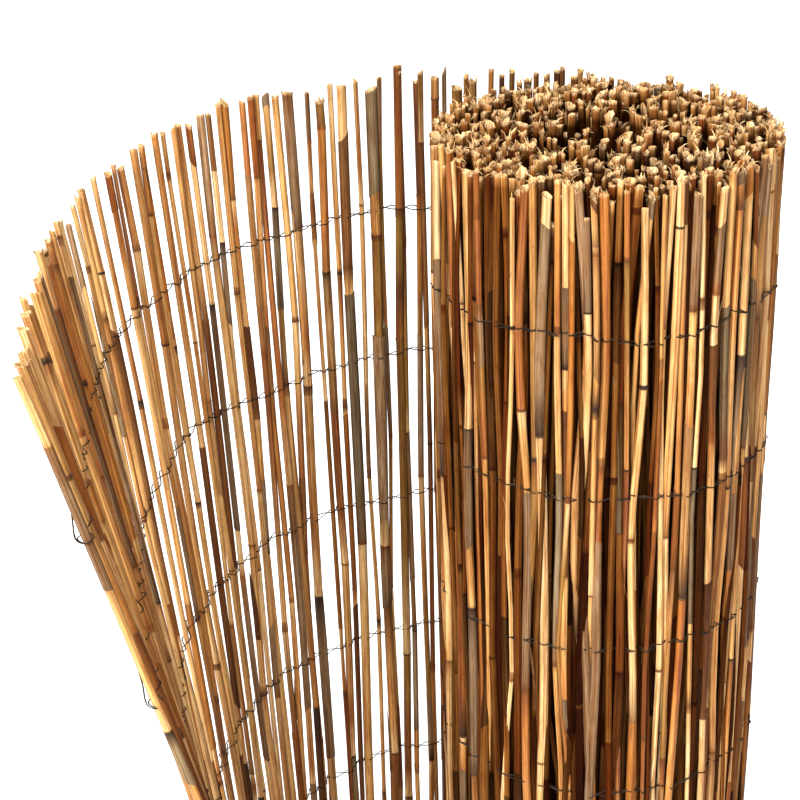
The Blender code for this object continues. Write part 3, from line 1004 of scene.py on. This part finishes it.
# Colours laid over a reed's tone: noise, its range, strength and the factor of the colour
LAYERS = (("streak", (0.44, 0.62), 1.0, (0.47, 0.30, 0.15)),
          ("mottle", (0.46, 0.66), 0.75, (0.63, 0.48, 0.30)),
          ("blotch", (0.45, 0.72), 0.8, (0.74, 0.54, 0.30)),
          ("mottle", (0.44, 0.24), 1.0, (1.10, 1.10, 1.10)),
          ("speck", (0.66, 0.74), 0.6, (0.35, 0.24, 0.15)))
REED_ROUGHNESS = (0.80, 0.38)
REED_SPECULAR = (0.0, 0.36)
BUMP_STRENGTH, BUMP_DEPTH = 0.5, 0.0004

WIRE_COLOURS = (0.010, 0.008, 0.005, 1.0), (0.040, 0.021, 0.010, 1.0)
RUST_RANGE = (0.45, 0.7)
WIRE_ROUGHNESS, WIRE_SPECULAR = 0.6, 0.12


def node_tree(name):
    """A new material, its node tree and its shader."""
    material = bpy.data.materials.new(name)
    material.use_nodes = True
    return material, material.node_tree, material.node_tree.nodes["Principled BSDF"]


def add_node(tree, kind, **values):
    """A new node with some of its properties set."""
    node = tree.nodes.new(kind)
    for key, value in values.items():
        setattr(node, key, value)
    return node


def set_inputs(node, values):
    """Values of a node's inputs by their labels."""
    for label, value in values.items():
        node.inputs[label].default_value = value


def mesh_value(tree, name, output):
    """A value stored on the points of the mesh."""
    return add_node(tree, "ShaderNodeAttribute", attribute_name=name).outputs[output]


def stretched_noise(tree, vector, scale, detail):
    """Noise whose coordinates are stretched by a scale for each axis."""
    stretch = add_node(tree, "ShaderNodeVectorMath", operation="MULTIPLY")
    stretch.inputs[1].default_value = scale
    tree.links.new(vector, stretch.inputs[0])
    noise = add_node(tree, "ShaderNodeTexNoise")
    set_inputs(noise, {"Scale": 1.0, "Detail": detail, "Roughness": NOISE_ROUGHNESS})
    tree.links.new(stretch.outputs[0], noise.inputs["Vector"])
    return noise.outputs["Fac"]


def remap(tree, value, low, high, to_low, to_high):
    """A value taken from one range to another, and held at its ends."""
    node = add_node(tree, "ShaderNodeMapRange")
    set_inputs(node, {"From Min": low, "From Max": high, "To Min": to_low, "To Max": to_high})
    tree.links.new(value, node.inputs["Value"])
    return node.outputs["Result"]


def mix_colour(tree, blend_type, factor, first, second):
    """Two colours mixed by a factor, each of the three a socket or a value."""
    node = add_node(tree, "ShaderNodeMix", data_type="RGBA", blend_type=blend_type)
    sockets = [socket for socket in node.inputs if socket.enabled]
    for socket, value in zip(sockets, (factor, first, second)):
        if isinstance(value, bpy.types.NodeSocket):
            tree.links.new(value, socket)
        else:
            socket.default_value = value
    return next(socket for socket in node.outputs if socket.enabled)


def reed_material():
    """Dry reed: the mesh's tone with streaks, blotches and specks, and its own shine, whose
    specular falls to nothing where shade is painted into the tone.
    """
    material, tree, shader = node_tree("reed")
    colour = mesh_value(tree, "tone", "Color")
    grain = mesh_value(tree, "grain", "Vector")
    shine = mesh_value(tree, "shine", "Fac")
    noises = {name: stretched_noise(tree, grain, *noise) for name, noise in NOISES.items()}
    for noise, (low, high), strength, factor in LAYERS:
        amount = remap(tree, noises[noise], low, high, 0.0, strength)
        colour = mix_colour(tree, "MULTIPLY", amount, colour, (*factor, 1.0))
    tree.links.new(colour, shader.inputs["Base Color"])
    tree.links.new(remap(tree, shine, 0.0, 1.0, *REED_ROUGHNESS), shader.inputs["Roughness"])
    # Shine below 0 comes from painted shade and takes the specular away
    tree.links.new(remap(tree, shine, -1.0, 1.0, *REED_SPECULAR),
                   shader.inputs["Specular IOR Level"])
    bump = add_node(tree, "ShaderNodeBump")
    set_inputs(bump, {"Strength": BUMP_STRENGTH, "Distance": BUMP_DEPTH})
    tree.links.new(stretched_noise(tree, grain, *FIBRE), bump.inputs["Height"])
    tree.links.new(bump.outputs["Normal"], shader.inputs["Normal"])
    return material


def wire_material():
    """Dark wire with a little rust."""
    material, tree, shader = node_tree("dark_wire")
    noise = stretched_noise(tree, mesh_value(tree, "grain", "Vector"), *RUST)
    rust = remap(tree, noise, *RUST_RANGE, 0.0, 1.0)
    tree.links.new(mix_colour(tree, "MIX", rust, *WIRE_COLOURS), shader.inputs["Base Color"])
    set_inputs(shader, {"Roughness": WIRE_ROUGHNESS, "Specular IOR Level": WIRE_SPECULAR})
    return material


# Studio

FLOOR_CORNERS = [(-30, -30, 0), (30, -30, 0), (30, 30, 0), (-30, 30, 0)]
FLOOR_COLOUR, FLOOR_ROUGHNESS = (0.85, 0.85, 0.85, 1.0), 0.9
GLOW_DISTANCES, GLOW_STRENGTHS = (0.3, 1.5), (0.45, 1.0)
WHITE = (1.0, 1.0, 1.0, 1.0)
WORLD_LIGHT, WORLD_STRENGTH = (1.0, 0.72, 0.44, 1.0), 0.21

# Lamps: name, place and size in metres, power in watts
LAMP_TARGET_HEIGHT = 0.8
LAMPS = (("key", (-1.7, -2.5, 2.6), 1.3, 188),
         ("top", (0.1, -0.4, 3.2), 0.9, 30),
         ("front", (0.1, -3.2, 1.5), 1.6, 66),
         ("back", (1.4, 2.9, 2.0), 1.8, 45))


def seen_directly(tree):
    """1 for rays from the camera, a mirror or glass, and 0 for the light on the object."""
    path = add_node(tree, "ShaderNodeLightPath")
    total = path.outputs["Is Camera Ray"]
    for label in ("Is Glossy Ray", "Is Transmission Ray"):
        larger = add_node(tree, "ShaderNodeMath", operation="MAXIMUM")
        tree.links.new(total, larger.inputs[0])
        tree.links.new(path.outputs[label], larger.inputs[1])
        total = larger.outputs[0]
    return total


def build_studio():
    """A pale floor that glows farther out, and a warm world that looks white."""
    floor_mesh = bpy.data.meshes.new("floor")
    floor_mesh.from_pydata(FLOOR_CORNERS, [], [(0, 1, 2, 3)])
    floor = new_object("floor", floor_mesh)
    material, tree, shader = node_tree("pale_floor")
    set_inputs(shader, {"Base Color": FLOOR_COLOUR, "Roughness": FLOOR_ROUGHNESS,
                        "Specular IOR Level": 0.0, "Emission Color": WHITE})
    place = add_node(tree, "ShaderNodeNewGeometry").outputs["Position"]
    distance = add_node(tree, "ShaderNodeVectorMath", operation="LENGTH")
    tree.links.new(place, distance.inputs[0])
    glow = remap(tree, distance.outputs["Value"], *GLOW_DISTANCES, *GLOW_STRENGTHS)
    shown = add_node(tree, "ShaderNodeMath", operation="MULTIPLY")
    tree.links.new(glow, shown.inputs[0])
    tree.links.new(seen_directly(tree), shown.inputs[1])
    tree.links.new(shown.outputs[0], shader.inputs["Emission Strength"])
    floor_mesh.materials.append(material)

    world = bpy.data.worlds.new("studio")
    bpy.context.scene.world = world
    world.use_nodes = True
    tree = world.node_tree
    background = tree.nodes["Background"]
    seen = seen_directly(tree)
    tree.links.new(remap(tree, seen, 0, 1, WORLD_STRENGTH, 1.0), background.inputs["Strength"])
    tree.links.new(mix_colour(tree, "MIX", seen, WORLD_LIGHT, WHITE), background.inputs["Color"])


def add_area(name, place, target, size, power):
    """A round lamp that looks at a target."""
    light = bpy.data.lights.new(name, "AREA")
    light.shape = "DISK"
    light.size = size
    light.energy = power
    item = new_object(name, light)
    item.location = place
    item.rotation_mode = "QUATERNION"
    item.rotation_quaternion = (Vector(target) - Vector(place)).to_track_quat("-Z", "Y")


# The camera as the photograph was taken, from the roll's axis, in metres and degrees
CAMERA_FROM_AXIS = (-0.1221, -1.1115, 1.3378)
CAMERA_DOWN = 24.39
CAMERA_ROLL = -1.71
LENS, SENSOR = 90.0, 36.0
CLIP_START = 0.05


def build_camera():
    camera = bpy.data.cameras.new("camera")
    camera.lens = LENS
    camera.sensor_width = SENSOR
    camera.clip_start = CLIP_START
    item = new_object("camera", camera)
    item.location = Vector(CAMERA_FROM_AXIS) + Vector((*ROLL_CENTRE, 0))
    down = Matrix.Rotation(math.radians(90 - CAMERA_DOWN), 4, "X")
    roll = Matrix.Rotation(math.radians(CAMERA_ROLL), 4, "Z")
    item.rotation_mode = "QUATERNION"
    item.rotation_quaternion = (down @ roll).to_quaternion()
    bpy.context.scene.camera = item


def main():
    bpy.context.scene.view_settings.view_transform = "Standard"
    reed = reed_material()
    outer, _, inner = build_roll(reed)
    build_loose_ends(outer, inner, reed)
    flap = build_flap(reed)
    build_wires(flap, outer, wire_material())
    build_studio()
    target = (*ROLL_CENTRE, LAMP_TARGET_HEIGHT)
    for name, place, size, power in LAMPS:
        add_area(name, place, target, size, power)
    build_camera()


main()
